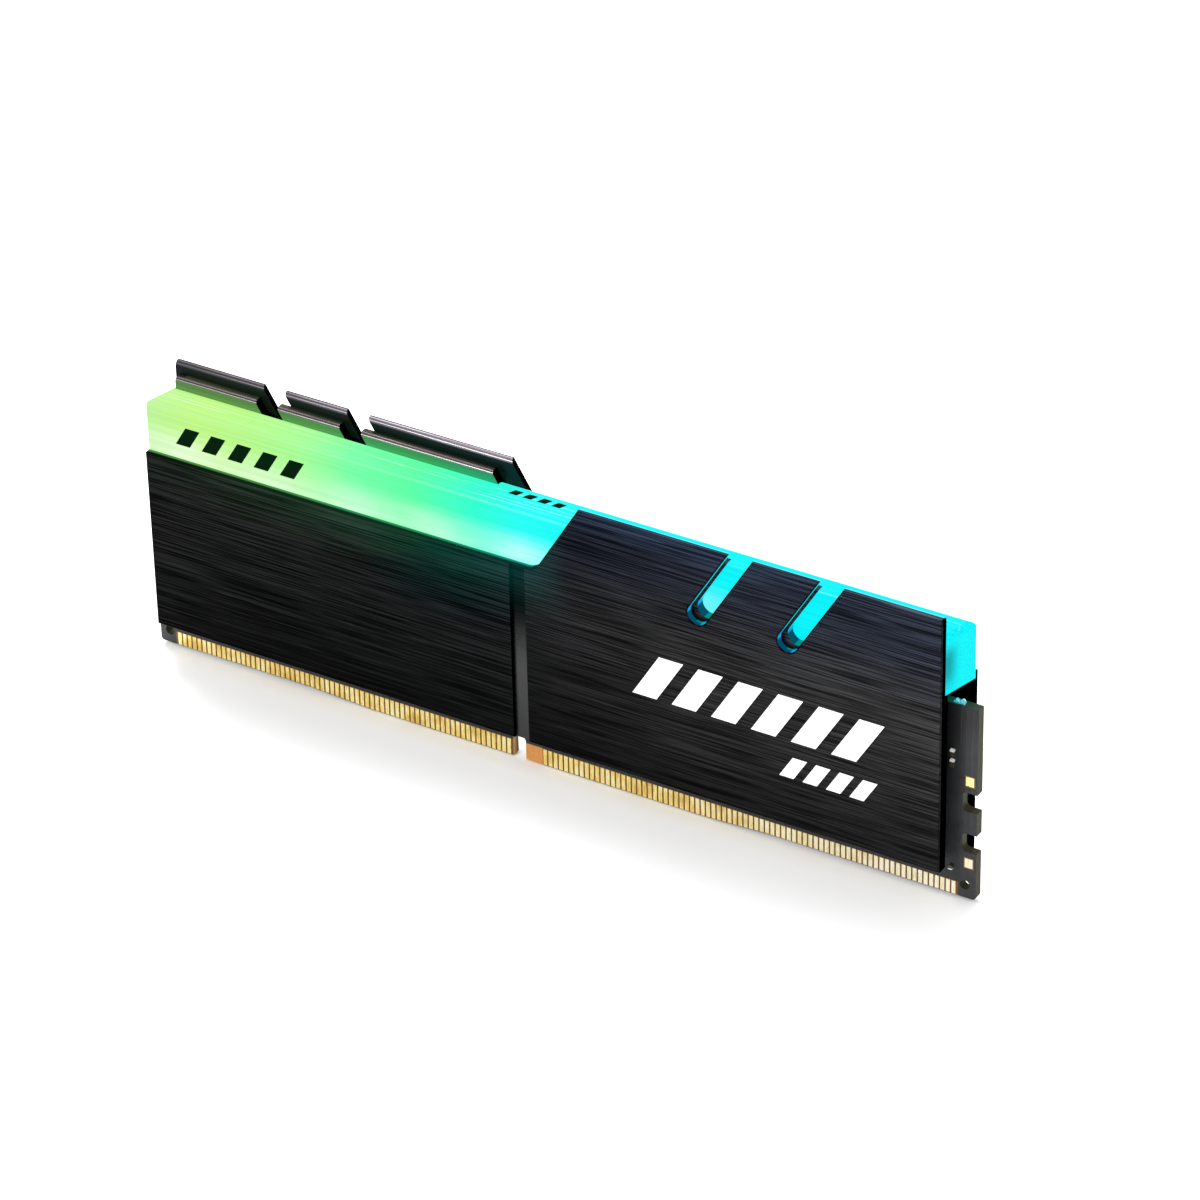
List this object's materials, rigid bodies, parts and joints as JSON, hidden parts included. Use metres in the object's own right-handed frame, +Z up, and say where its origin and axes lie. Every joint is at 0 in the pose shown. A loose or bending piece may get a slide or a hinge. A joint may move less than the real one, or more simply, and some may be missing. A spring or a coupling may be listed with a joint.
{
  "type": "ram module",
  "caption": "Desktop memory module with a gold edge connector, brushed black heatspreader plates with leaning slots and a glowing translucent light bar along the top.",
  "frame": {"origin": "middle of the printed board's length and thickness, at its lowest edge", "axes": "+X along the board, to the right when its front is seen; -Y out of the front face; +Z up, from the contacts to the light bar"},
  "size_m": [0.1334, 0.0082, 0.0462],
  "materials": {
    "board_laminate": "satin black solder mask with olive glass-fibre edges",
    "contact_gold": "gold plated",
    "chip_mould": "moulded epoxy",
    "capacitor_ceramic": "ceramic with tinned ends",
    "resistor_body": "ceramic with tinned ends",
    "light_housing": "white housing",
    "thermal_pad": "soft grey silicone",
    "brushed_plate": "black anodised, brushed lengthways",
    "light_bar": "frosted translucent, lit from below",
    "pale_ink": "printed",
    "dark_ink": "printed"
  },
  "bodies": {
    "root": {"bar_marks_front": "dark_ink", "bar_marks_top": "dark_ink", "capacitors_front": "capacitor_ceramic", "capacitors_rear": "capacitor_ceramic", "edge_contacts_front_left": "contact_gold", "edge_contacts_front_right": "contact_gold", "edge_contacts_rear_left": "contact_gold", "edge_contacts_rear_right": "contact_gold", "end_part_lower": "resistor_body", "end_parts_upper": "resistor_body", "heatspreader_front": "brushed_plate", "heatspreader_rear": "brushed_plate", "light_1": "light_housing", "light_2": "light_housing", "light_3": "light_housing", "light_4": "light_housing", "light_5": "light_housing", "light_6": "light_housing", "light_7": "light_housing", "light_8": "light_housing", "light_9": "light_housing", "light_bar": "light_bar", "light_controller": "chip_mould", "memory_chip_front_1": "chip_mould", "memory_chip_front_2": "chip_mould", "memory_chip_front_3": "chip_mould", "memory_chip_front_4": "chip_mould", "memory_chip_front_5": "chip_mould", "memory_chip_front_6": "chip_mould", "memory_chip_front_7": "chip_mould", "memory_chip_front_8": "chip_mould", "memory_chip_rear_1": "chip_mould", "memory_chip_rear_2": "chip_mould", "memory_chip_rear_3": "chip_mould", "memory_chip_rear_4": "chip_mould", "memory_chip_rear_5": "chip_mould", "memory_chip_rear_6": "chip_mould", "memory_chip_rear_7": "chip_mould", "memory_chip_rear_8": "chip_mould", "panel_marks_front": "pale_ink", "panel_marks_rear": "pale_ink", "presence_detect_chip": "chip_mould", "printed_board": "board_laminate", "resistor_networks": "resistor_body", "test_pads": "contact_gold", "thermal_pad_front": "thermal_pad", "thermal_pad_rear": "thermal_pad"}
  },
  "joints": []
}
